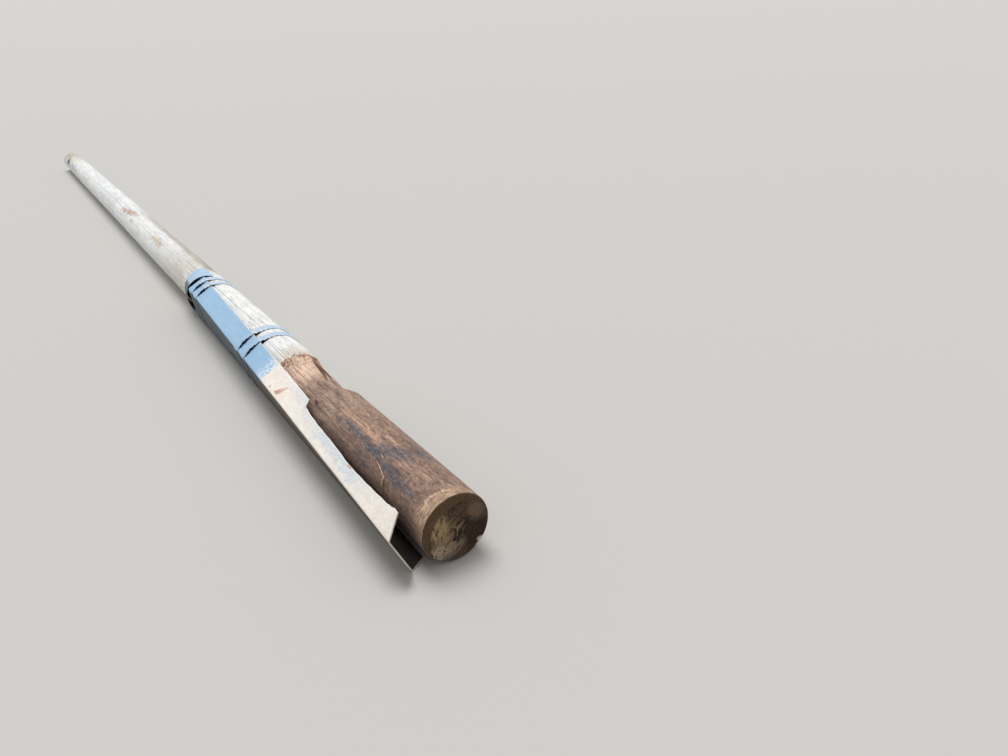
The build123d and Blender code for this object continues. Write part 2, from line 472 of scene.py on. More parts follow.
# Thin dark lines with the grain, where a streak crosses a level, broken into short runs
hairlines, given, result = new_group(
    "hairlines",
    {"Position": None, "Length": 0.5, "Width": 0.02, "Fineness": 0.02, "Share": 0.5, "Seed": 0.0},
    {"Lines": "Float"},
)
off_level = abs(place(grain, given) - 0.5)
line = calc("MAXIMUM", 1.0 - off_level / given["Fineness"], 0.0)
breaks = noise(given["Position"], scale=9.0, detail=2.0, seed=given["Seed"] + 3.7)
feed(line * ramp(given["Share"] - breaks, -0.04, 0.04), result["Lines"])

# A cloudy mask with soft or hard edges
clouds, given, result = new_group(
    "clouds",
    {"Position": None, "Size": 0.05, "Cover": 0.5, "Softness": 0.1, "Seed": 0.0},
    {"Mask": "Float"},
)
cloud = noise(given["Position"], scale=1.0 / given["Size"], detail=4.0, roughness=0.6, seed=given["Seed"])
edge = 1.0 - given["Cover"]
cloud = ramp(ramp(cloud, 0.3, 0.7), edge - given["Softness"], edge + given["Softness"])
feed(cloud, result["Mask"])

# Everything on the butt's side of a ragged line round the log
ragged_line, given, result = new_group(
    "ragged_line",
    {"Position": None, "Station": 0.0}
    | {"Edge": 1.0, "Softness": 0.01, "Raggedness": 0.02, "Size": 0.05, "Seed": 0.0},
    {"Mask": "Float"},
)
rag = noise(given["Position"], scale=1.0 / given["Size"], detail=5.0, roughness=0.65, seed=given["Seed"])
short_of = given["Edge"] + (rag - 0.5) * given["Raggedness"] - given["Station"]
feed(ramp(short_of, 0.0 - given["Softness"], given["Softness"]), result["Mask"])

# A patch of a given length and width at a station and angle, with a ragged outline
log_patch, given, result = new_group(
    "log_patch",
    {"Position": None, "Station": 0.0, "Angle": 0.0, "At Station": 0.0, "At Angle": 0.0}
    | {"Length": 0.1, "Degrees": 20.0, "Softness": 0.3, "Raggedness": 1.0},
    {"Mask": "Float"},
)
off_station = (given["Station"] - given["At Station"]) / given["Length"]
off_angle = calc("WRAP", given["Angle"] - given["At Angle"], 180.0, -180.0) / given["Degrees"]
shaken = (noise(given["Position"], scale=28.0, detail=4.0, roughness=0.6) - 0.5) * given["Raggedness"]
off_middle = distance(off_station, off_angle) + shaken * 2.0
feed(1.0 - ramp(off_middle, 0.5 - given["Softness"], given["Softness"] + 0.5), result["Mask"])


def place_on_log(tree):
    """The shades that say where on the log each point of a surface lies."""
    axis = {"Butt X": butt_x, "Axis Y": axis_y, "Axis Z": butt_axis_z, "Axis Fall": axis_fall}
    node = add_node(tree, "ShaderNodeGroup", node_tree=log_place)
    for name, value in axis.items():
        feed(value, node.inputs[name])
    return {socket.name: Shade(socket) for socket in node.outputs}


def daub(colour, tint, where, patches, through=1.0, softness=0.3, raggedness=1.0):
    """The colour with patches of a tint: rows of station, angle, length, degrees and strength."""
    for at_station, at_angle, length, degrees, strength in patches:
        spot = {"At_Station": at_station, "At_Angle": at_angle, "Length": length, "Degrees": degrees}
        patch = place(log_patch, where, **spot, Softness=softness, Raggedness=raggedness)
        colour = blend(patch * through * strength, colour, tint)
    return colour


# Weathered timber: pale silvered wood above the groundline, brown and tarry below it
timber, tree, shader = new_material("weathered_timber")
on_log = place_on_log(tree)
station, angle, position = on_log["Station"], on_log["Angle"], on_log["Position"]
broad_streaks = place(grain, on_log, Length=0.9, Width=0.05, Seed=1)
fine_streaks = place(grain, on_log, Length=0.22, Width=0.007, Seed=2)
fibres = place(grain, on_log, Length=0.09, Width=0.005, Seed=13)

# Above ground: silver grey, with cream and bluish streaks, greyer wood at the tip and near the cap
colour = blend(ramp(broad_streaks, 0.3, 0.7), srgb(252, 252, 249), srgb(242, 244, 244))
colour = blend(ramp(fine_streaks, 0.45, 0.72) * 0.2, colour, srgb(196, 193, 186))
cream = ramp(place(grain, on_log, Length=1.2, Width=0.05, Seed=4), 0.50, 0.66, 0.0, 0.28)
colour = blend(cream, colour, srgb(238, 228, 210))
tip_grey = ramp(station, 7.00, 7.22) * ramp(fine_streaks, 0.3, 0.6, 0.5, 1.0) * ramp(angle, 34, 56)
colour = blend(tip_grey, colour, srgb(206, 196, 180))
bluish = ramp(place(grain, on_log, Length=0.13, Width=0.018, Seed=17), 0.40, 0.62)
colour = blend(bluish * ramp(station, 2.2, 4.5, 0.15, 0.65), colour, srgb(214, 221, 224))
tan_zone = between(station, 2.65, 2.80, 2.95, 3.7) * ramp(fine_streaks, 0.35, 0.62, 0.25, 0.75)
colour = blend(tan_zone, colour, srgb(209, 203, 194))
upper_patches = (
    (7.200, 72, 0.20, 34, 0.9, srgb(240, 230, 204)),
    (7.560, 76, 0.36, 110, 0.6, srgb(186, 172, 154)),
    # The next row is painted shade round the bolt hole
    (7.345, 31, 0.13, 36, 0.95, srgb(48, 46, 50)),
    (7.100, 26, 0.50, 30, 0.6, srgb(176, 186, 198)),
    (4.640, 57, 0.16, 22, 0.9, srgb(204, 172, 156)),
    (4.500, 68, 0.20, 26, 0.9, srgb(204, 170, 152)),
    (4.400, 78, 0.10, 16, 0.8, srgb(210, 182, 166)),
    (4.340, 44, 0.10, 16, 0.8, srgb(216, 198, 182)),
    (3.660, 57, 0.18, 22, 0.8, srgb(220, 204, 182)),
    (3.550, 55, 0.12, 18, 0.8, srgb(210, 190, 168)),
    (2.960, 70, 0.40, 60, 0.4, srgb(212, 204, 192)),
)
for *patch, tint in upper_patches:
    colour = daub(colour, tint, on_log, [patch], raggedness=0.8)
far_edge = between(station, 2.62, 2.80, 4.0, 4.9) * between(angle, 94, 112, 150, 168)
far_edge *= ramp(fine_streaks, 0.35, 0.60, 0.3, 0.75)
colour = blend(far_edge, colour, srgb(150, 135, 116))
stain = place(ragged_line, on_log, Edge=1.40, Softness=0.06, Raggedness=0.22, Size=0.05, Seed=1)
colour = blend(stain * ramp(angle, 48, 84, 0.25, 0.6), colour, srgb(222, 202, 180))
colour = vary(colour, place(grain, on_log, Length=0.10, Width=0.006, Seed=16), 0.06, 0.20)

# Below ground: brown wood, deeper towards the butt, with blotches, tan flecks and mauve clouds
brown = blend(ramp(fine_streaks, 0.35, 0.68), srgb(246, 214, 190), srgb(212, 174, 150))
deeper = place(ragged_line, on_log, Edge=1.07, Softness=0.09, Raggedness=0.30, Size=0.07, Seed=3)
grey_brown = blend(ramp(broad_streaks, 0.35, 0.65), srgb(180, 151, 133), srgb(145, 122, 108))
low_brown = ramp(station, 0.78, 0.45)
grey_brown = blend(low_brown * 0.6, grey_brown, srgb(126, 100, 88))
brown = blend(deeper, brown, grey_brown)
blotches = ramp(place(grain, on_log, Length=0.11, Width=0.028, Seed=6), 0.50, 0.62) * deeper
brown = blend(blotches * 0.6, brown, srgb(112, 90, 80))
tan_flecks = place(grain, on_log, Length=0.045, Width=0.010, Seed=9)
tan_share = ramp(tan_flecks, 0.56, 0.66) * ramp(fibres, 0.35, 0.55) * deeper * 0.8
brown = blend(tan_share, brown, srgb(206, 168, 140))
mauve = place(clouds, on_log, Size=0.055, Cover=0.45, Softness=0.3, Seed=41)
brown = blend(mauve * low_brown * 0.42, brown, srgb(132, 106, 104))
orange = place(clouds, on_log, Size=0.032, Cover=0.30, Softness=0.2, Seed=42)
brown = blend(orange * low_brown * 0.28, brown, srgb(200, 154, 128))
rubbed_patches = (
    (0.790, 100, 0.16, 26, 0.4),
    (0.694, 70, 0.045, 10, 0.9),
    (0.600, 82, 0.15, 26, 0.6),
    (0.480, 71, 0.24, 13, 0.85),
    (0.385, 90, 0.15, 12, 0.8),
    (0.445, 14, 0.12, 8, 0.7),
    (0.250, 72, 0.06, 10, 0.5),
    (0.166, 83, 0.07, 12, 0.6),
)
rubbed = ramp(fibres, 0.42, 0.58, 0.25, 1.0)
brown = daub(brown, srgb(218, 176, 148), on_log, rubbed_patches, through=rubbed, softness=0.4)
# Painted light: the brown is paler on the channel's side, to offset the shade the channel throws there
channel_side_painted_light = ramp(angle, 52, 28) * ramp(station, 0.9, 0.7) * 0.38
brown = blend(channel_side_painted_light, brown, srgb(172, 150, 138))
red_brown = ramp(angle, 62, 34) * ramp(station, 0.86, 0.66) * ramp(blotches, 0.0, 1.0, 0.30, 0.20)
brown = blend(red_brown, brown, srgb(120, 82, 68))
tar_patches = (
    (0.600, 61, 0.16, 13, 0.9),
    (0.500, 58, 0.20, 15, 1.0),
    (0.415, 57, 0.11, 16, 1.0),
    (0.400, 61, 0.07, 22, 1.0),
    (0.350, 76, 0.12, 20, 1.0),
    (0.315, 86, 0.10, 18, 1.0),
    (0.300, 51, 0.14, 14, 1.0),
    (0.225, 48, 0.15, 15, 1.0),
    (0.165, 45, 0.12, 11, 0.8),
    (0.440, 30, 0.10, 20, 0.7),
    (0.282, 113, 0.12, 22, 1.0),
    (0.690, 52, 0.10, 10, 0.5),
    (0.520, 170, 0.20, 40, 0.7),
    (0.300, -110, 0.24, 50, 0.7),
    (0.700, -70, 0.20, 40, 0.7),
)
tarred = ramp(fibres, 0.44, 0.62, 1.0, 0.45) * 0.85
brown = daub(brown, srgb(84, 88, 100), on_log, tar_patches, through=tarred, softness=0.36, raggedness=0.8)

# The butt's rim is rubbed pale on top, and a pale scratch curves round close behind it
rim = place(ragged_line, on_log, Edge=0.054, Softness=0.018, Raggedness=0.10, Size=0.06, Seed=5)
rim *= ramp(place(grain, on_log, Length=0.005, Width=0.022, Seed=8), 0.36, 0.60)
rim *= ramp(abs(angle - 62.0), 62, 26, 0.22, 0.95)
brown = blend(rim, brown, srgb(208, 178, 146))
scratch_station = noise(position, scale=13.0, detail=1.0) * 0.050 + 0.022
scratch = ramp(abs(station - scratch_station), 0.0060, 0.0010) * ramp(fibres, 0.42, 0.56, 0.2, 1.0)
scratch *= between(angle, 30, 50, 80, 104) * 0.8
brown = blend(scratch, brown, srgb(232, 201, 169))
fine_chips = place(grain, on_log, Length=0.016, Width=0.0045, Seed=15)
brown = vary(brown, place(grain, on_log, Length=0.040, Width=0.011, Seed=14), 0.24, 0.10)
brown = vary(brown, fine_chips, 0.24, 0.14)
neck_cracks = (
    (0.900, 61.5, 0.13, 1.6, 0.85),
    (0.810, 41.5, 0.17, 1.6, 0.85),
    (1.120, 49.0, 0.18, 1.4, 0.85),
    (1.160, 66.0, 0.14, 1.2, 0.85),
    (1.060, 80.0, 0.16, 1.2, 0.85),
    (0.960, 92.0, 0.14, 1.2, 0.85),
    (0.902, 45.0, 0.04, 7.0, 0.85),
    (0.640, 44.0, 0.12, 1.2, 0.85),
    (1.190, 131.0, 0.22, 20.0, 0.85),
    (1.120, 126.0, 0.14, 16.0, 0.85),
)
brown = daub(brown, srgb(78, 52, 42), on_log, neck_cracks, softness=0.4, raggedness=0.5)
buried = place(ragged_line, on_log, Edge=groundline, Softness=0.006, Raggedness=0.10, Size=0.035, Seed=2)
colour = blend(buried, colour, brown)

# Just under the groundline the old skin is specked and crazed
specks = place(clouds, on_log, Size=0.018, Cover=0.38, Softness=0.08, Seed=12)
colour = blend(specks * buried * ramp(station, 1.24, 1.30) * 0.55, colour, srgb(104, 66, 50))
skin_cells = stretch(position, 26.0, 44.0, 44.0)
crazing = add_node(
    tree, "ShaderNodeTexVoronoi", {"Vector": skin_cells, "Scale": 1.0}, feature="DISTANCE_TO_EDGE"
)
crazed = ramp(station, 1.12, 1.22) * place(clouds, on_log, Size=0.05, Cover=0.42, Softness=0.15, Seed=18)
crazed = calc("MAXIMUM", crazed, ramp(station, 1.265, 1.285)) * buried
crazed *= ramp(Shade(crazing.outputs["Distance"]), 0.10, 0.03)
colour = blend(crazed * 0.7, colour, srgb(120, 72, 58))

# Checks everywhere, painted shade on the wood under the straps and the cap, and the splits' dark bottoms
long_checks = place(hairlines, on_log, Length=0.7, Width=0.014, Fineness=0.013, Share=0.54, Seed=3)
short_checks = place(hairlines, on_log, Length=0.30, Width=0.008, Fineness=0.022, Share=0.52, Seed=7)
checks = calc("MAXIMUM", long_checks, short_checks * 0.5)
colour = blend(checks * ramp(station, 2.6, 4.2, 0.75, 0.3), colour, srgb(98, 86, 76))
# Painted shade: the wood under and beside each strap is made nearly black on the channel's side
strap_slot_painted_shade = 0.0
for middle in strap_stations.values():
    slot = between(station, middle - 28 * mm, middle - 25 * mm, middle + 16 * mm, middle + 22 * mm)
    strap_slot_painted_shade = calc("MAXIMUM", strap_slot_painted_shade, slot)
strap_slot_painted_shade *= between(angle, 20, 30, 62, 84) * 0.95
colour = blend(strap_slot_painted_shade, colour, srgb(30, 32, 36))
# Painted shade: the wood in the open gap under the cap's lower edge is made nearly black
cap_gap_painted_shade = between(station, 2.600, 2.606, 2.755, 2.765) * between(angle, -78, -74, 98, 102) * 0.95
colour = blend(cap_gap_painted_shade, colour, srgb(24, 28, 34))
colour = blend(attribute(tree, "split_mark") * 0.9, colour, srgb(46, 38, 32))
dress(shader, colour, 0.88, Specular_IOR_Level=0.25)
relief = fine_streaks - checks * 0.8 - crazed * 1.2 + (tan_flecks * 0.9 + fine_chips * 0.8) * buried
emboss(shader, relief, strength=0.55, depth=0.002)
shaft_mesh.materials.append(timber)

# Sawn butt: end grain under a smear of clay, with growth rings and radial cracks
end_grain, tree, shader = new_material("butt_end_grain")
on_log = place_on_log(tree)
_, across, height = split_up(on_log["Position"])
off_y, off_z = across - axis_y, height - butt_axis_z
from_pith = distance(off_y, off_z)
slant = math.sqrt(0.5)
smeared = joined_up(tree, (off_z - off_y) * (24.0 * slant), (off_z + off_y) * (80.0 * slant))
smear = noise(smeared, scale=1.0, detail=5.0, roughness=0.7, distortion=0.6)
fibred = joined_up(tree, off_y * 150.0, off_z * 34.0)
fibre = noise(fibred, scale=1.0, detail=4.0, roughness=0.65, distortion=0.5)
shaken = smear - 0.5
grit = place(clouds, on_log, Size=0.010, Cover=0.5, Softness=0.3, Seed=24)
fine_grit = place(grain, on_log, Length=0.0035, Width=0.0035, Seed=25)
colour = blend(ramp(smear, 0.35, 0.65), srgb(62, 47, 36), srgb(98, 78, 60))


def face_patch(at_y, at_z, half_y, half_z, soft=0.35, shake=1.0):
    """A soft ragged oval on the sawn face, placed from its middle."""
    off_middle = distance((off_y - at_y) / half_y, (off_z - at_z) / half_z) + shaken * shake
    return ramp(off_middle, 1.0 + soft, 1.0 - soft)


purple = face_patch(-0.064, -0.040, 0.052, 0.055, soft=0.3, shake=0.4)
colour = blend(purple * 0.92, colour, srgb(47, 30, 22))
upper_right = face_patch(-0.070, 0.036, 0.026, 0.034, soft=0.5)
colour = blend(upper_right * 0.6, colour, srgb(126, 105, 84))
face_marks = (
    (0.020, 0.010, 0.046, 0.052, smear, 0.46, 0.56, srgb(136, 114, 84), 0.8),
    (0.058, 0.014, 0.029, 0.050, fibre, 0.38, 0.54, srgb(170, 148, 106), 0.95),
    (0.024, -0.056, 0.050, 0.040, smear, 0.36, 0.54, srgb(148, 126, 103), 0.8),
    (0.048, -0.040, 0.036, 0.030, fibre, 0.42, 0.60, srgb(152, 130, 100), 0.8),
    (0.066, -0.072, 0.044, 0.028, grit, 0.0, 0.7, srgb(184, 162, 141), 0.9),
    (0.036, -0.094, 0.018, 0.013, grit, 0.0, 0.6, srgb(110, 112, 110), 0.7),
    (-0.026, 0.080, 0.018, 0.014, grit, 0.3, 0.6, srgb(16, 11, 8), 0.9),
    (0.002, 0.068, 0.016, 0.010, grit, 0.4, 0.7, srgb(22, 15, 11), 0.8),
    (-0.004, -0.030, 0.020, 0.030, smear, 0.60, 0.44, srgb(24, 17, 13), 0.9),
    (-0.036, 0.012, 0.030, 0.020, smear, 0.56, 0.44, srgb(34, 24, 18), 0.7),
    (-0.083, -0.074, 0.013, 0.008, fibre, 0.30, 0.46, srgb(210, 194, 176), 0.9),
)
for at_y, at_z, half_y, half_z, pattern, low, high, tint, strength in face_marks:
    mark = face_patch(at_y, at_z, half_y, half_z) * ramp(pattern, low, high)
    colour = blend(mark * strength, colour, tint)
hollows = ramp(smear, 0.40, 0.33) * ramp(from_pith, 0.100, 0.088)
colour = blend(hollows * 0.8, colour, srgb(22, 15, 11))


def radial_lines(off_y, off_z, wobble, lines, half_widths, near, taper):
    """Thin lines out from a point of a sawn face: rows of degrees and length."""
    total = 0.0
    for degrees, length in lines:
        toward_y, toward_z = math.cos(math.radians(degrees)), math.sin(math.radians(degrees))
        out = off_y * toward_y + off_z * toward_z
        beside = abs(off_z * toward_y - off_y * toward_z + wobble)
        line = ramp(beside, *half_widths) * between(out, *near, length - taper, length)
        total = calc("MAXIMUM", total, line)
    return total


heart_cracks = ((150, 0.030), (35, 0.022), (272, 0.034))
heart = (off_y + 0.004, off_z + 0.002)
cracks = radial_lines(
    *heart, shaken * 0.012, heart_cracks, half_widths=(0.0026, 0.0010), near=(-0.004, 0.002), taper=0.008
)
colour = blend(cracks * 0.75, colour, srgb(150, 132, 108))
outer_ring = ramp(distance(off_y + 0.020, off_z + 0.030) + shaken * 0.012, 0.1125, 0.1165)
ring_brown = blend(fine_grit, srgb(96, 73, 54), srgb(80, 60, 44))
colour = blend(outer_ring * 0.92, colour, ring_brown)
broken_rim = ((0.0, -134, 0.030, 16, 1.0),)
colour = daub(
    colour, srgb(214, 196, 176), on_log, broken_rim, through=ramp(from_pith, 0.108, 0.112), raggedness=0.6
)
colour = vary(colour, fine_grit, 0.22, 0.05)
dress(shader, colour, 0.9, Specular_IOR_Level=0.2)
emboss(shader, (smear + grit * 0.25) * (1.0 - outer_ring * 0.8), strength=0.9, depth=0.006)
shaft_mesh.materials.append(end_grain)

# Sawn tip: cream end grain, greyed by weather, with growth rings and a few radial checks
tip_grain, tree, shader = new_material("tip_end_grain")
on_log = place_on_log(tree)
_, across, height = split_up(on_log["Position"])
off_y, off_z = across - (axis_y + 0.004), height - (tip_axis_z - 0.003)
from_pith = distance(off_y, off_z)
weather = place(grain, on_log, Length=0.03, Width=0.03, Seed=31)
rings = calc("SINE", weather * 14.0 + from_pith * 1400.0)
colour = blend(ramp(rings, -0.2, 1.0), srgb(214, 200, 176), srgb(188, 172, 148))
colour = blend(ramp(weather, 0.40, 0.62, 0.1, 0.75), colour, srgb(196, 192, 184))
colour = blend(ramp(from_pith, 0.030, 0.005, 0.0, 0.4), colour, srgb(160, 138, 112))
tip_checks = ((40, 0.060), (118, 0.070), (205, 0.055), (298, 0.074), (342, 0.040))
wobble = (weather - 0.5) * 0.012
checks = radial_lines(
    off_y, off_z, wobble, tip_checks, half_widths=(0.0011, 0.0004), near=(0.0, 0.006), taper=0.012
)
colour = blend(checks * 0.85, colour, srgb(74, 62, 52))
dress(shader, colour, 0.9)
emboss(shader, rings * 0.15 - checks, strength=0.6, depth=0.002)
shaft_mesh.materials.append(tip_grain)

# The butt's face and rim take the second material, the tip's flat face the third
faces_per_row = len(column_angles)
grid_faces = (len(all_rows) - 1) * faces_per_row
butt_faces = (len(butt_rings) - 1) * faces_per_row
tip_faces = (len(tip_rings) - len(rim_turns)) * faces_per_row
face_materials = np.zeros(len(shaft_mesh.polygons), dtype=np.int32)
face_materials[:butt_faces] = 1
face_materials[grid_faces - tip_faces : grid_faces] = 2
face_materials[grid_faces : grid_faces + faces_per_row] = 1
face_materials[grid_faces + faces_per_row :] = 2
shaft_mesh.polygons.foreach_set("material_index", face_materials)

# The bolt hole near the tip goes through the log, its inside painted dark as shade
hole_station = pole_length - 281 * mm
hole_radius = 10 * mm
hole_tilt = math.radians(30)
drill_length = 400 * mm
drill_mesh = bpy.data.meshes.new("drill")
work = bmesh.new()
bmesh.ops.create_cone(
    work, cap_ends=True, segments=32, radius1=hole_radius, radius2=hole_radius, depth=drill_length
)
work.to_mesh(drill_mesh)
work.free()
drill = bpy.data.objects.new("drill", drill_mesh)
hole_direction = Vector((0, math.cos(hole_tilt), math.sin(hole_tilt)))
drill.matrix_world = (
    Matrix.Translation((butt_x + hole_station, axis_y, axis_z_at(hole_station)))
    @ hole_direction.to_track_quat("Z", "Y").to_matrix().to_4x4()
)
hole_painted_shade, tree, shader = new_material("hole_painted_shade")
dress(shader, srgb(38, 30, 26), 0.95)
drill_mesh.materials.append(hole_painted_shade)
shaft_mesh.materials.append(hole_painted_shade)
bpy.context.scene.collection.objects.link(drill)
cut = timber_shaft.modifiers.new("bolt_hole", "BOOLEAN")
cut.operation = "DIFFERENCE"
cut.solver = "EXACT"
cut.material_mode = "TRANSFER"
cut.object = drill
bpy.context.view_layer.update()
cut_shaft = timber_shaft.evaluated_get(bpy.context.evaluated_depsgraph_get())
drilled = bpy.data.meshes.new_from_object(cut_shaft)
timber_shaft.modifiers.remove(cut)
bpy.data.objects.remove(drill)
timber_shaft.data = drilled
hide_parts("pole_shaft")
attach(timber_shaft, "root")


# Splinters and shell. Splinters stand up where the tarred wood was rubbed, and a thin shell of
# rotten wood peels off along the neck's far side. Each is torn from the log and hangs on by its root.
sliver_rows = 14
sliver_root = 2 * mm


def sliver(path, widths, thickness):
    """A sliver along rows of station, degrees and height over the wood, lens-shaped across."""
    stations, degrees, heights = (np.array(column) for column in zip(*path))
    rows = np.linspace(0, 1, sliver_rows)
    knots = np.linspace(0, 1, len(path))
    stations, degrees, heights, widths = (
        np.interp(rows, knots, values) for values in (stations, degrees, heights, widths)
    )
    turns = np.radians(degrees)
    loss = np.interp(stations, neck_stations, neck_losses) * (1 + np.cos(turns - neck_side)) / 2
    seat_radius = radius_at(stations) - sliver_root - loss
    sheet = []
    for share, side in ((-1, 1), (-0.5, 1), (0, 1), (0.5, 1), (1, 1), (0.5, -1), (0, -1), (-0.5, -1)):
        rise = heights + side * thickness * (1 - share * share) / 2
        sheet.append(shaft_points(stations, seat_radius + rise, turns + share * widths / 2 / seat_radius))
    return np.stack(sheet, axis=1)


splinter_thickness = 1.6 * mm
splinter_paths = (
    (((0.372, 47, 0.5 * mm), (0.325, 42, 3 * mm), (0.280, 35, 7 * mm)), (1.0, 3.2, 3.4)),
    (((0.292, 37, 2 * mm), (0.281, 31, 7 * mm), (0.275, 24, 9 * mm)), (4.0, 17.0, 5.0)),
    (((0.380, 60, 0.5 * mm), (0.360, 58, 2 * mm), (0.345, 57, 3 * mm)), (1.0, 4.0, 1.0)),
    (((0.470, 66, 0.5 * mm), (0.430, 65, 2 * mm), (0.405, 64, 3 * mm)), (0.8, 2.0, 0.8)),
)
splinter_paint, tree, shader = new_material("splinter_wood")
streaks = place(grain, place_on_log(tree), Length=0.03, Width=0.003, Seed=33)
dress(shader, blend(ramp(streaks, 0.4, 0.6), srgb(240, 214, 186), srgb(208, 160, 116)), 0.85)
loose_pieces = [
    ("loose_splinter_%d" % number, path, widths, splinter_thickness, splinter_paint)
    for number, (path, widths) in enumerate(splinter_paths)
]

shell_thickness = 2.5 * mm
shell_path = (
    (1.240, 119, 0.5 * mm),
    (1.190, 117, 3 * mm),
    (1.140, 114, 5 * mm),
    (1.080, 109, 6 * mm),
    (1.030, 105, 6 * mm),
)
shell_paint, tree, shader = new_material("rotten_shell")
streaks = place(grain, place_on_log(tree), Length=0.05, Width=0.006, Seed=34)
dress(shader, blend(streaks, srgb(98, 56, 46), srgb(64, 38, 32)), 0.9)
loose_pieces.append(("rotten_shell", shell_path, (3, 8, 9, 7, 2), shell_thickness, shell_paint))

for name, path, widths, thickness, paint in loose_pieces:
    sliver_mesh = mesh_from_rows(name, sliver(path, np.array(widths) * mm, thickness), caps=(0, -1))
    sliver_mesh.materials.append(paint)
    loose = piece_from_mesh(name, sliver_mesh, 50)
    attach(loose, "root")


# Steel channel. Galvanised plate, pressed to a flared C with round bends and driven in beside the
# log. Its upper flange is torn off at a nick, its driven end is cut to a point, and only its upper
# part is painted.
plate = 5 * mm
bend_radius = 11 * mm
flare = math.radians(20)
channel_top = 2605 * mm
channel_end = 37 * mm
top_roll = math.radians(7.5)
end_roll = math.radians(25)
seat_gap = 0.3 * mm
end_standoff = 60 * mm
lower_flange = 58 * mm
driving_point = 56 * mm
flange_slant = 48 / 82
flange_edge_radius = 1 * mm
edge_rounding = 1.3 * mm
nick = 893 * mm
dents_end = 1500 * mm
paint_edge = 1288 * mm
seat_radius = radius_at(channel_top) + seat_gap + plate
half_turn = math.tan(math.pi / 4 - flare / 2)
web_width = 2 * seat_radius * half_turn
setback = bend_radius * half_turn
flange_stations = np.array([37, 170, 280, 440, 620, 807, 880, 889, 892, 897, 901, 1270, 1700, 2605]) * mm
flange_widths = np.array([82, 72, 65, 60, 64, 66, 73, 80, 88, 99, 101, 104, 102.5, 104]) * mm


def roll_axes(roll):
    """Unit vectors across the channel at a roll: away from the log, and up the web."""
    zero = 0 * roll
    outward = np.stack([zero, np.cos(roll), -np.sin(roll)], axis=-1)
    upward = np.stack([zero, np.sin(roll), np.cos(roll)], axis=-1)
    return outward, upward


def axis_point(station):
    return np.stack([butt_x + station, axis_y + 0 * station, axis_z_at(station)], axis=-1)


outward, upward = roll_axes(np.array(top_roll))
top_corner = axis_point(np.array(channel_top)) + outward * seat_radius + upward * web_width / 2
outward, upward = roll_axes(np.array(end_roll))
end_reach = radius_at(channel_end) + end_standoff + plate
end_web_line = axis_point(np.array(channel_end)) + outward * end_reach
bend_rise = bend_radius * math.sin(end_roll) + setback * math.cos(end_roll) - bend_radius
end_drop = (end_web_line[2] - shaft_low.z + bend_rise) / math.cos(end_roll)
end_corner = end_web_line + upward * (web_width - end_drop)


def channel_points(stations, away, up):
    """Places in the channel's own section, at each station, away from the log and up the web."""
    share = (stations - channel_top) / (channel_end - channel_top)
    corner = top_corner + (end_corner - top_corner) * share[..., None]
    outward, upward = roll_axes(top_roll + (end_roll - top_roll) * share)
    return corner + outward * away[..., None] + upward * up[..., None]


flange_shares = np.concatenate([[1.0, 0.985], np.linspace(0.96, 0.0, 13)])
bend_turns = np.linspace(math.pi / 2 - flare, 0, 7)
web_shares = np.linspace(0, 1, 12)[1:-1]
base_rows = even_steps((
    (-19 * mm, 150 * mm, 6 * mm),
    (150 * mm, 870 * mm, 12 * mm),
    (870 * mm, 912 * mm, 2 * mm),
    (912 * mm, 2605 * mm, 14 * mm),
))
base_rows = np.append(base_rows, channel_top)[:, None]
cut_waves = 0.8 * mm
torn_waves = 1.6 * mm
edge_wave = surface_waves(base_rows, 0.0, around=0, along=90.0, count=14, seed=41) * cut_waves
torn = np.exp(-(((base_rows - nick) / (9 * mm)) ** 2))
teeth = surface_waves(base_rows, 0.0, around=0, along=1500.0, count=12, seed=42)
edge_wave = edge_wave + torn * teeth * torn_waves
flange_width = np.interp(base_rows, flange_stations, flange_widths)
flange_width = flange_width + edge_wave * np.clip((channel_top - base_rows) / (100 * mm), 0, 1)

# The section runs down from the upper flange's edge. Each point has its place away from the log
# and up the web, the way it faces, how far it is from the flange's edge, and its share of web: 0 on
# the upper flange, and 1 from the web down.
section = []
for share in flange_shares:
    out = setback + (flange_width - setback) * share
    at_away, at_up = -math.cos(flare) * out, math.sin(flare) * out
    section.append((at_away, at_up, math.sin(flare), math.cos(flare), flange_width - out, 0.0))
for turn in bend_turns[1:]:
    at_away, at_up = -bend_radius + bend_radius * math.cos(turn), -setback + bend_radius * math.sin(turn)
    section.append((at_away, at_up, math.cos(turn), math.sin(turn), flange_width, 1 - math.sin(turn)))
for share in web_shares:
    section.append((0.0, -setback - (web_width - 2 * setback) * share, 1.0, 0.0, flange_width, 1.0))
for turn in bend_turns[::-1]:
    at_away = -bend_radius + bend_radius * math.cos(turn)
    at_up = setback - web_width - bend_radius * math.sin(turn)
    section.append((at_away, at_up, math.cos(turn), -math.sin(turn), flange_width, 1.0))
for share in flange_shares[::-1][1:]:
    out = setback + (lower_flange - setback) * share
    at_away, at_up = -math.cos(flare) * out, -web_width - math.sin(flare) * out
    section.append((at_away, at_up, math.sin(flare), -math.cos(flare), lower_flange - out, 1.0))
away, up, normal_away, normal_up, gap, web_share = (
    np.hstack([value + 0 * base_rows for value in column]) for column in zip(*section)
)

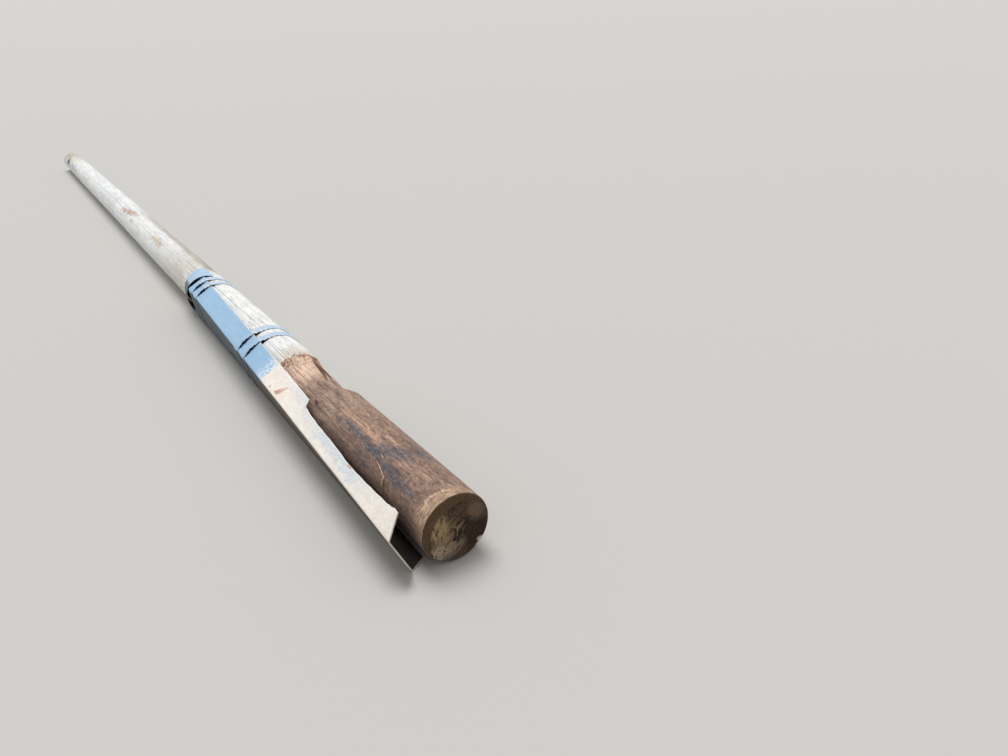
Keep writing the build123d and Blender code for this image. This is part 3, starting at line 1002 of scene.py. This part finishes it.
# The driven end: the flanges end on a slant and the web at a point, hammered a little uneven
point_share = 1 - np.abs(1 - 2 * np.clip(-up / web_width, 0, 1))
end_stations = channel_end - driving_point * point_share
end_stations = end_stations + flange_slant * np.maximum(0, -away - plate)
column_places = np.arange(away.shape[1])[None, :] * 0.35
hammer_marks = 1.2 * mm
hammered = surface_waves(0.0, column_places, around=6, along=1.0, count=9, seed=43)
end_stations = end_stations + np.abs(hammered) * hammer_marks
first_row, warp_end = base_rows[0, 0], 150 * mm
warp_share = (base_rows - first_row) / (warp_end - first_row)
warped = end_stations + (warp_end - end_stations) * warp_share
channel_stations = np.where(base_rows < warp_end, warped, base_rows)

dent_depth = 0.6 * mm
dents = surface_waves(channel_stations, column_places, around=4, along=14.0, count=14, seed=44)
dents = -np.abs(dents) * dent_depth * np.clip((dents_end - channel_stations) / (400 * mm), 0, 1)
edge_pinch = np.zeros((1, away.shape[1]))
edge_pinch[0, [0, -1]] = edge_rounding


def channel_sheet(offset):
    offset = offset + dents
    return channel_points(channel_stations, away + normal_away * offset, up + normal_up * offset)


def shell_from_sheets(name, outer, inner, closed=False):
    """A thin closed body between two grids of points, joined along their borders."""
    row_count, column_count = outer.shape[:2]
    points = [tuple(p) for sheet in (outer, inner) for p in sheet.reshape(-1, 3)]

    def corners(*places):
        return [(side * row_count + i) * column_count + j % column_count for i, j, side in places]

    faces = []
    steps = column_count if closed else column_count - 1
    for i in range(row_count - 1):
        for j in range(steps):
            for side in (0, 1):
                cell = ((i, j), (i, j + 1), (i + 1, j + 1), (i + 1, j))
                faces.append(corners(*((*at, side) for at in cell)))
    for i in (0, row_count - 1):
        for j in range(steps):
            faces.append(corners((i, j, 0), (i, j + 1, 0), (i, j + 1, 1), (i, j, 1)))
    if not closed:
        for j in (0, column_count - 1):
            for i in range(row_count - 1):
                faces.append(corners((i, j, 0), (i + 1, j, 0), (i + 1, j, 1), (i, j, 1)))
    mesh = bpy.data.meshes.new(name)
    mesh.from_pydata(points, [], faces)
    work = bmesh.new()
    work.from_mesh(mesh)
    bmesh.ops.recalc_face_normals(work, faces=work.faces)
    work.to_mesh(mesh)
    work.free()
    return mesh


outer, inner = channel_sheet(-edge_pinch), channel_sheet(edge_pinch - plate)
channel_mesh = shell_from_sheets("steel_channel", outer, inner)
end_gap = channel_stations - end_stations
marks = {"edge_gap": gap, "end_gap": end_gap, "web_drop": -up, "web_share": web_share}
for name, values in marks.items():
    mark_points(channel_mesh, name, np.stack([values, values]))
mark_points(channel_mesh, "inner_face", np.repeat([0.0, 1.0], gap.size))
steel_channel = piece_from_mesh("steel_channel", channel_mesh, 35)

# Galvanised steel, painted blue-grey down to a ragged edge, rusty where it was torn and scraped
galvanised, tree, shader = new_material("galvanised_channel")
on_log = place_on_log(tree)
station = on_log["Station"]
mark_names = ("edge_gap", "end_gap", "web_drop", "web_share", "inner_face")
edge_gap, end_gap, web_drop, on_web, inside = (attribute(tree, name) for name in mark_names)
mottle = place(clouds, on_log, Size=0.03, Cover=0.5, Softness=0.35, Seed=41)
scuffs = place(grain, on_log, Length=0.12, Width=0.012, Seed=42)
colour = blend(mottle, srgb(252, 248, 241), srgb(247, 238, 229))

# Cold bluish zinc along the flange's edge, warm blushes, grey spots and pits
speckle = place(clouds, on_log, Size=0.009, Cover=0.62, Softness=0.35, Seed=46)
zinc_patches = place(clouds, on_log, Size=0.045, Cover=0.5, Softness=0.5, Seed=48)
cold = ramp(edge_gap + (zinc_patches - 0.5) * 0.030, 0.042, 0.026) * ramp(station, 0.20, 0.34, 0.1, 1.0)
cold = calc("MAXIMUM", cold, ramp(zinc_patches, 0.50, 0.80) * 0.35)
cold *= ramp(station, 1.12, 0.95, 0.25, 1.0) * (speckle * 0.75 + 0.25)
colour = blend(cold * 0.9, colour, srgb(222, 228, 231))
coldest = between(station, 0.32, 0.42, 0.66, 0.78) * 0.75
colour = blend(cold * coldest, colour, srgb(205, 220, 233))
blush = place(clouds, on_log, Size=0.016, Cover=0.40, Softness=0.30, Seed=47)
colour = blend(blush * ramp(edge_gap, 0.012, 0.040, 0.10, 0.50), colour, srgb(250, 231, 210))
greys = place(clouds, on_log, Size=0.012, Cover=0.30, Softness=0.25, Seed=49)
greys *= ramp(edge_gap, 0.045, 0.010, 0.15, 0.45) * ramp(station, 0.30, 0.45, 0.4, 1.0)
colour = blend(greys, colour, srgb(206, 206, 206))
pitted = place(clouds, on_log, Size=0.006, Cover=0.30, Softness=0.10, Seed=43)
pitted *= ramp(end_gap, 0.45, 0.0, 0.2, 1.0)
colour = blend(pitted * 0.25, colour, srgb(202, 184, 170))

# The paint, thin and worn where it ends
bare = place(ragged_line, on_log, Edge=paint_edge, Softness=0.003, Raggedness=0.07, Size=0.055, Seed=6)
painted = 1.0 - bare
worn = place(clouds, on_log, Size=0.014, Cover=0.60, Softness=0.18, Seed=45)
paint = blend(ramp(scuffs, 0.35, 0.7), srgb(152, 189, 220), srgb(160, 195, 224))
paint = blend(worn * painted * ramp(station, 1.40, 1.29) * 0.95, paint, srgb(228, 240, 248))
colour = blend(painted, colour, paint)
colour = blend(ramp(edge_gap, 0.0035, 0.001) * 0.75, colour, srgb(246, 240, 232))

# Rust: a few spots, a bar that slants across the upper flange, and the torn edge at the nick
rust_spots = (
    (1.206, 17, 0.014, 3, 0.9),
    (0.426, 23, 0.030, 4, 0.8),
    (0.050, 17, 0.030, 4, 0.5),
    (0.120, 27, 0.016, 3, 0.5),
)
colour = daub(colour, srgb(200, 164, 136), on_log, rust_spots, raggedness=0.9)
along_bar = (edge_gap - 0.035) / 0.053
off_bar = abs(station - (along_bar * 0.050 + 1.087) + (scuffs - 0.5) * 0.02)
rust_bar = ramp(off_bar - ramp(along_bar, 0.1, 0.8, 0.008, 0.017), 0.004, -0.004)
rust_bar *= between(along_bar, -0.15, 0.1, 0.92, 1.12) * ramp(along_bar, 0.2, 0.9, 0.5, 0.9)
colour = blend(rust_bar, colour, srgb(192, 142, 108))
torn_edge = between(station, 0.870, 0.886, 0.899, 0.905) * ramp(edge_gap, 0.008, 0.002)
colour = blend(torn_edge * 0.8, colour, srgb(132, 84, 58))

# Painted shade in the slots under the straps and down the web, caked soil on the lower web, and soil and
# painted shadow inside
flange_slot_painted_shade = 0.0
near_side = {"Softness": 0.0008, "Raggedness": 0.045, "Size": 0.010, "Seed": 11}
far_side = {"Softness": 0.002, "Raggedness": 0.004, "Size": 0.02, "Seed": 9}
for middle in strap_stations.values():
    upto = place(ragged_line, on_log, Edge=middle + 21 * mm, **far_side)
    past = place(ragged_line, on_log, Edge=middle - 29 * mm, **near_side)
    flange_slot_painted_shade = calc("MAXIMUM", flange_slot_painted_shade, upto - past)
# Painted shade: the flange under each strap is made nearly black, with a knobbly edge towards the butt
flange_slot_painted_shade *= ramp(edge_gap, 0.094, 0.084) * 0.95
colour = blend(flange_slot_painted_shade, colour, srgb(24, 28, 34))
# Painted shade: the web, which faces down, is made dark all along
web_painted_shade = blend(ramp(scuffs, 0.3, 0.7), srgb(32, 38, 42), srgb(46, 50, 47))
colour = blend(ramp(on_web, 0.35, 0.75) * 0.9, colour, web_painted_shade)
drop = web_drop + (mottle - 0.5) * 0.016
caked = ramp(drop, 0.020, 0.032) * ramp(on_web, 0.5, 0.9) * ramp(station, 1.7, 1.2)
soil_brown = blend(mottle, srgb(62, 47, 34), srgb(86, 66, 48))
colour = blend(caked * 0.92, colour, soil_brown)
# Inner faces: soil with painted shadow low down, and painted shadow darkening them all the way up
soil_and_painted_shade = blend(mottle, srgb(30, 24, 19), srgb(52, 42, 33))
colour = blend(inside * (1.0 - ramp(station, 0.95, 1.25)), colour, soil_and_painted_shade)
colour = blend(inside * 0.6, colour, srgb(34, 33, 30))
colour = blend(ramp(end_gap, 0.0012, 0.0004) * 0.85, colour, srgb(214, 200, 184))
rough = calc("MAXIMUM", mottle * 0.15 + 0.5, inside * 0.95)
dress(shader, colour, rough, Metallic=(1.0 - inside) * 0.12)
emboss(shader, mottle * inside * 3.0 - pitted * 0.5, strength=0.35, depth=0.002)
channel_mesh.materials.append(galvanised)
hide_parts("reinforcing_channel")
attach(steel_channel, "root")


# Straps. Two pairs of painted steel bands are pulled tight round the log and the channel. Their
# edges towards the butt lift off the upper flange and leave a dark slot under a knobbly lip.
strap_width = 50 * mm
strap_thickness = 2 * mm
strap_gap = 0.3 * mm
strap_corner_gap = 0.9 * mm
strap_lift = 9 * mm
strap_edge_pinch = 0.5 * mm
knob_height = 1.8 * mm
bow_radius = 70 * mm
hull_directions = 1440
points_round = 280


def hull_outline(station, clearance, bow):
    """The convex outline round log and channel at a station: points of (y, z), and the way each
    faces. It stands off the middle of the upper flange by the bow."""
    place_at = np.array(station)
    centres = [axis_point(place_at)]
    radii = [radius_at(station - strap_width / 2) + clearance]
    width = float(np.interp(station, flange_stations, flange_widths))
    flange_top = np.array([-math.cos(flare) * width, math.sin(flare) * width])
    flange_foot = np.array([-math.cos(flare) * lower_flange, -web_width - math.sin(flare) * lower_flange])
    corner_places = [
        (-bend_radius, -setback, bend_radius),
        (-bend_radius, setback - web_width, bend_radius),
        (flange_top[0], flange_top[1] - flange_edge_radius, flange_edge_radius),
        (flange_foot[0], flange_foot[1] + flange_edge_radius, flange_edge_radius),
    ]
    if bow:
        lift = bow - bow_radius
        corner_places.append((
            flange_top[0] / 2 + math.sin(flare) * lift,
            flange_top[1] / 2 + math.cos(flare) * lift,
            bow_radius,
        ))
    for away, up, radius in corner_places:
        centres.append(channel_points(place_at, np.array(away), np.array(up)))
        radii.append(radius + clearance + strap_corner_gap - strap_gap)
    centres = np.array(centres)[:, 1:]
    directions = np.linspace(0, 2 * math.pi, hull_directions, endpoint=False)
    normals = np.stack([np.cos(directions), np.sin(directions)], axis=-1)
    supports = normals @ centres.T + np.array(radii)
    furthest = supports.argmax(axis=1)
    outline = centres[furthest] + normals * np.array(radii)[furthest, None]
    return outline, normals


def even_outline(outline, normals, count):
    """Points spaced evenly along a closed outline, and the way each faces."""
    closed = np.vstack([outline, outline[:1]])
    lengths = np.concatenate([[0], np.cumsum(np.linalg.norm(np.diff(closed, axis=0), axis=1))])
    wanted = np.linspace(0, lengths[-1], count, endpoint=False)
    spots = np.stack([np.interp(wanted, lengths, closed[:, k]) for k in (0, 1)], axis=-1)
    turned = np.vstack([normals, normals[:1]])
    facing = np.stack([np.interp(wanted, lengths, turned[:, k]) for k in (0, 1)], axis=-1)
    return spots, facing / np.linalg.norm(facing, axis=1)[:, None]


def strap_sheet(middle, clearance, pinch, seed):
    """One face of a strap. Both edges are moved out by the pinch, and the one towards the butt is
    lifted off the upper flange."""
    dice = random.Random(seed)
    wave_phase = dice.uniform(0, 6)
    column = np.arange(points_round)
    sheet, faces_up = [], []
    for across in np.concatenate([[-1, -0.96], np.linspace(-0.88, 0.88, 9), [0.96, 1]]):
        station = middle + across * strap_width / 2
        lift = strap_lift * np.clip((0.85 - across) / 1.7, 0.03, 1) ** 0.8
        spots, facing = even_outline(*hull_outline(middle, clearance, lift), points_round)
        knobs = np.sin(column * 1.55 + wave_phase) * 0.6 + np.sin(column * 0.83 + 2 * wave_phase)
        top_share = np.clip(facing[:, 1] * 1.6 - 0.6, 0, 1) * np.clip(facing[:, 0] * 5 + 1, 0, 1)
        knobs = knobs * top_share * knob_height * np.clip(-across * 1.6 - 0.6, 0, 1)
        spots = spots + facing * np.maximum(knobs, -lift * 0.6)[:, None]
        spots = spots + facing * pinch * (abs(across) > 0.99)
        sheet.append(np.column_stack([butt_x + station + 0 * column, spots]))
        faces_up.append(facing[:, 1])
    return np.array(sheet), np.array(faces_up)


painted_strap, tree, shader = new_material("painted_strap")
on_log = place_on_log(tree)
mottle = place(clouds, on_log, Size=0.02, Cover=0.45, Softness=0.3, Seed=51)
paint = blend(mottle, srgb(150, 184, 214), srgb(162, 194, 220))
pale_paint = blend(mottle, srgb(170, 194, 216), srgb(200, 214, 226))
paint = blend(ramp(on_log["Angle"], 52, 60), paint, pale_paint)
chips = place(clouds, on_log, Size=0.008, Cover=0.14, Softness=0.08, Seed=52)
paint = blend(chips * 0.4, paint, srgb(226, 228, 226))
shaded = 1.0 - ramp(attribute(tree, "faces_up"), 0.0, 0.35)
paint = blend(shaded * 0.9, paint, srgb(58, 66, 68))
dress(shader, paint, 0.55)
emboss(shader, mottle, strength=0.2, depth=0.001)

for seed, (node, middle) in enumerate(strap_stations.items(), start=60):
    inner, inner_up = strap_sheet(middle, strap_gap, strap_edge_pinch, seed)
    outer, outer_up = strap_sheet(middle, strap_gap + strap_thickness, -strap_edge_pinch, seed)
    mesh = shell_from_sheets("painted_" + node, outer, inner, closed=True)
    mark_points(mesh, "faces_up", np.stack([outer_up, inner_up]))
    mesh.materials.append(painted_strap)
    band = piece_from_mesh("painted_" + node, mesh, 40)
    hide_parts(node)
    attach(band, "root")


# Seals. A short steel sleeve closes each strap on the log's far side and is painted with it. It
# is pressed round the strap and crimped by two notches in each edge.
seal_start = math.radians(196)
seal_sweep = math.radians(24)
seal_thickness = 2.2 * mm
seal_half = strap_width / 2 + 2.5 * mm
for strap_node, middle in strap_stations.items():
    node = strap_node.replace("strap", "seal")
    seal_inner = radius_at(middle - strap_width / 2) + strap_gap + strap_thickness
    turns = np.linspace(seal_start, seal_start + seal_sweep, 49)[None, :]
    widths = np.concatenate([[-1, -0.99], np.linspace(-0.96, 0.96, 15), [0.99, 1]])[:, None]
    round_share = (turns - seal_start) / seal_sweep
    notches = sum(np.exp(-((round_share - share) / 0.07) ** 2) for share in (0.3, 0.7))
    near_edge = np.clip((np.abs(widths) - 0.62) / 0.3, 0, 1)
    rounded = np.sqrt(np.clip(1 - ((np.abs(widths) - 0.93).clip(0) / 0.07) ** 2, 0, 1))
    height = seal_thickness * (0.25 + 0.75 * rounded) * (1 - 0.55 * notches * near_edge)
    stations_across = middle + widths * seal_half * (1 - 0.05 * notches) + 0 * turns
    outer = shaft_points(stations_across, seal_inner + height, turns + 0 * widths)
    inner = shaft_points(stations_across, seal_inner + 0 * height, turns + 0 * widths)
    mesh = shell_from_sheets("crimped_" + node, outer, inner)
    mesh.materials.append(painted_strap)
    seal = piece_from_mesh("crimped_" + node, mesh, 40)
    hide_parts(node)
    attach(seal, "root")


# Cap. A painted steel sheet, bent over the log and the channel's top end and nailed to the wood
# along its upper edge. Its lower edge runs obliquely and stands open, like a visor.
cap_thickness = 1.5 * mm
cap_gap = 0.4 * mm
cap_top = 2768 * mm
cap_crown = 2598 * mm
cap_corner = 2643 * mm
cap_low = cap_crown - 2 * cap_thickness
cap_off_ground = 0.4 * mm
crown_angle = math.radians(102)
crown_y = axis_y + seat_radius * math.cos(crown_angle)
cap_slant = (cap_corner - cap_crown) / (top_corner[1] - crown_y)
cap_turns = np.linspace(crown_angle, crown_angle - math.pi, 150)


def polar_outline(outline, centre, turns):
    """Where rays from a centre, at the given angles, meet an outline."""
    offsets = outline - centre
    outline_turns = np.arctan2(offsets[:, 1], offsets[:, 0])
    reach = np.hypot(offsets[:, 0], offsets[:, 1])
    order = np.argsort(outline_turns)
    return np.interp(turns, outline_turns[order], reach[order], period=2 * math.pi)


def cap_sheet(offset):
    """One face of the cap, in rows from its top down to the oblique lower edge. How low a row lies
    and how far out it reaches depend on each other, so each row is settled in a few rounds."""
    clearance = cap_gap + offset
    low_outline = hull_outline(cap_low, clearance, 0.0)[0]
    low_reach = polar_outline(low_outline, axis_point(np.array(cap_low))[1:], cap_turns)
    high_reach = radius_at(cap_low) + clearance + 0 * cap_turns
    sheet = []
    for share in np.concatenate([[0, 0.008], np.linspace(0.03, 0.97, 22), [0.992, 1]]):
        station = cap_crown + 0 * cap_turns
        for _ in range(6):
            mix = (station - cap_low) / (cap_top - cap_low)
            reach = low_reach + (high_reach - low_reach) * mix
            y = axis_y + reach * np.cos(cap_turns)
            lower_edge = cap_crown + cap_slant * (y - crown_y)
            station = cap_top + (lower_edge - cap_top) * share
        z = np.maximum(axis_z_at(station) + reach * np.sin(cap_turns), cap_off_ground)
        sheet.append(np.column_stack([butt_x + station, y, z]))
    return np.array(sheet)


cap_mesh = shell_from_sheets("bent_cap", cap_sheet(cap_thickness), cap_sheet(0.0))
sheet_paint, tree, shader = new_material("painted_sheet")
on_log = place_on_log(tree)
angle = on_log["Angle"]
mottle = place(clouds, on_log, Size=0.03, Cover=0.45, Softness=0.3, Seed=71)
colour = blend(mottle, srgb(158, 193, 221), srgb(168, 200, 225))
spots = place(clouds, on_log, Size=0.009, Cover=0.18, Softness=0.08, Seed=72)
colour = blend(spots * 0.4, colour, srgb(212, 204, 194))
# Painted shade: the cap is made dark where it turns down round the log's side
turned_down_painted_shade = between(angle, -100, -90, 30, 42)
colour = blend(turned_down_painted_shade * 0.92, colour, srgb(48, 57, 66))
dress(shader, colour, 0.5)
cap_mesh.materials.append(sheet_paint)
bent_cap = piece_from_mesh("bent_cap", cap_mesh, 50)
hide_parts("channel_top_cap")
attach(bent_cap, "root")

# Six nails hold the cap. A nail's head is round, in rings of a depth into the sheet and a radius
nail_station = cap_top - 9 * mm
nail_seat = radius_at(cap_low) + cap_gap + cap_thickness
nail_rings = ((0.3, 4.2), (-1.0, 4.2), (-1.3, 3.6), (-1.9, 2.2))
round_head = np.radians(np.arange(0, 360, 30))
for number, degrees in enumerate((94, 60, 26, -8, -42, -70)):
    turn = math.radians(degrees)
    facing_out = np.array([0, math.cos(turn), math.sin(turn)])
    facing_round = np.array([0, -math.sin(turn), math.cos(turn)])
    seat = axis_point(np.array(nail_station)) + facing_out * nail_seat
    rim = np.outer(np.cos(round_head), facing_round) + np.outer(np.sin(round_head), [1, 0, 0])
    rings = [seat - facing_out * sunk * mm + rim * radius * mm for sunk, radius in nail_rings]
    nail_mesh = mesh_from_rows("cap_nail_%d" % number, np.array(rings), caps=(-1,))
    nail_mesh.materials.append(sheet_paint)
    nail = piece_from_mesh("cap_nail_%d" % number, nail_mesh, 50)
    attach(nail, "root")


# Floor, light and camera. The floor is plain and pale, the light is a soft studio sky with a
# broad lamp above, and the camera looks down the pole from beyond its butt.
floor_mesh = bpy.data.meshes.new("floor")
floor_reach = 1500.0
floor_corners = [(x * floor_reach, y * floor_reach, 0) for x, y in ((-1, -1), (1, -1), (1, 1), (-1, 1))]
floor_mesh.from_pydata(floor_corners, [], [(0, 1, 2, 3)])
floor = bpy.data.objects.new("floor", floor_mesh)
bpy.context.scene.collection.objects.link(floor)
floor_paint, tree, shader = new_material("floor_paint")
dress(shader, srgb(200, 198, 194), 0.95)
floor_mesh.materials.append(floor_paint)

world = bpy.data.worlds.new("studio_sky")
bpy.context.scene.world = world
world.use_nodes = True
tree = world.node_tree
sky = tree.nodes["Background"]
seen = {socket.name: Shade(socket) for socket in add_node(tree, "ShaderNodeLightPath").outputs}
direct = calc("MAXIMUM", seen["Is Camera Ray"], seen["Is Glossy Ray"])
direct = calc("MAXIMUM", direct, seen["Is Transmission Ray"])
feed(ramp(direct, 0.0, 1.0, 0.50, 1.0), sky.inputs["Strength"])
feed(srgb(255, 255, 255), sky.inputs["Color"])

lamp_data = bpy.data.lights.new("soft_lamp", "SUN")
lamp_data.energy = 1.95
lamp_data.angle = math.radians(35)
lamp = bpy.data.objects.new("soft_lamp", lamp_data)
lamp_from = Vector((0.35, -0.12, 1.0))
lamp.rotation_mode = "QUATERNION"
lamp.rotation_quaternion = lamp_from.to_track_quat("Z", "Y")
bpy.context.scene.collection.objects.link(lamp)

camera_data = bpy.data.cameras.new("camera")
camera_data.sensor_width = 36.0
camera_data.lens = 28.865
camera = bpy.data.objects.new("camera", camera_data)
camera_right = Vector((-0.55514, -0.83119, -0.03078))
camera_down = Vector((-0.35358, 0.26932, -0.89580))
camera_forward = Vector((0.75286, -0.48641, -0.44340))
camera_place = Vector((-5.5628, 0.9033, 1.6105))
turn = Matrix((camera_right, -camera_down, -camera_forward)).transposed()
camera.matrix_world = Matrix.Translation(camera_place) @ turn.to_4x4()
bpy.context.scene.collection.objects.link(camera)
bpy.context.scene.camera = camera
bpy.context.scene.view_settings.view_transform = "Standard"
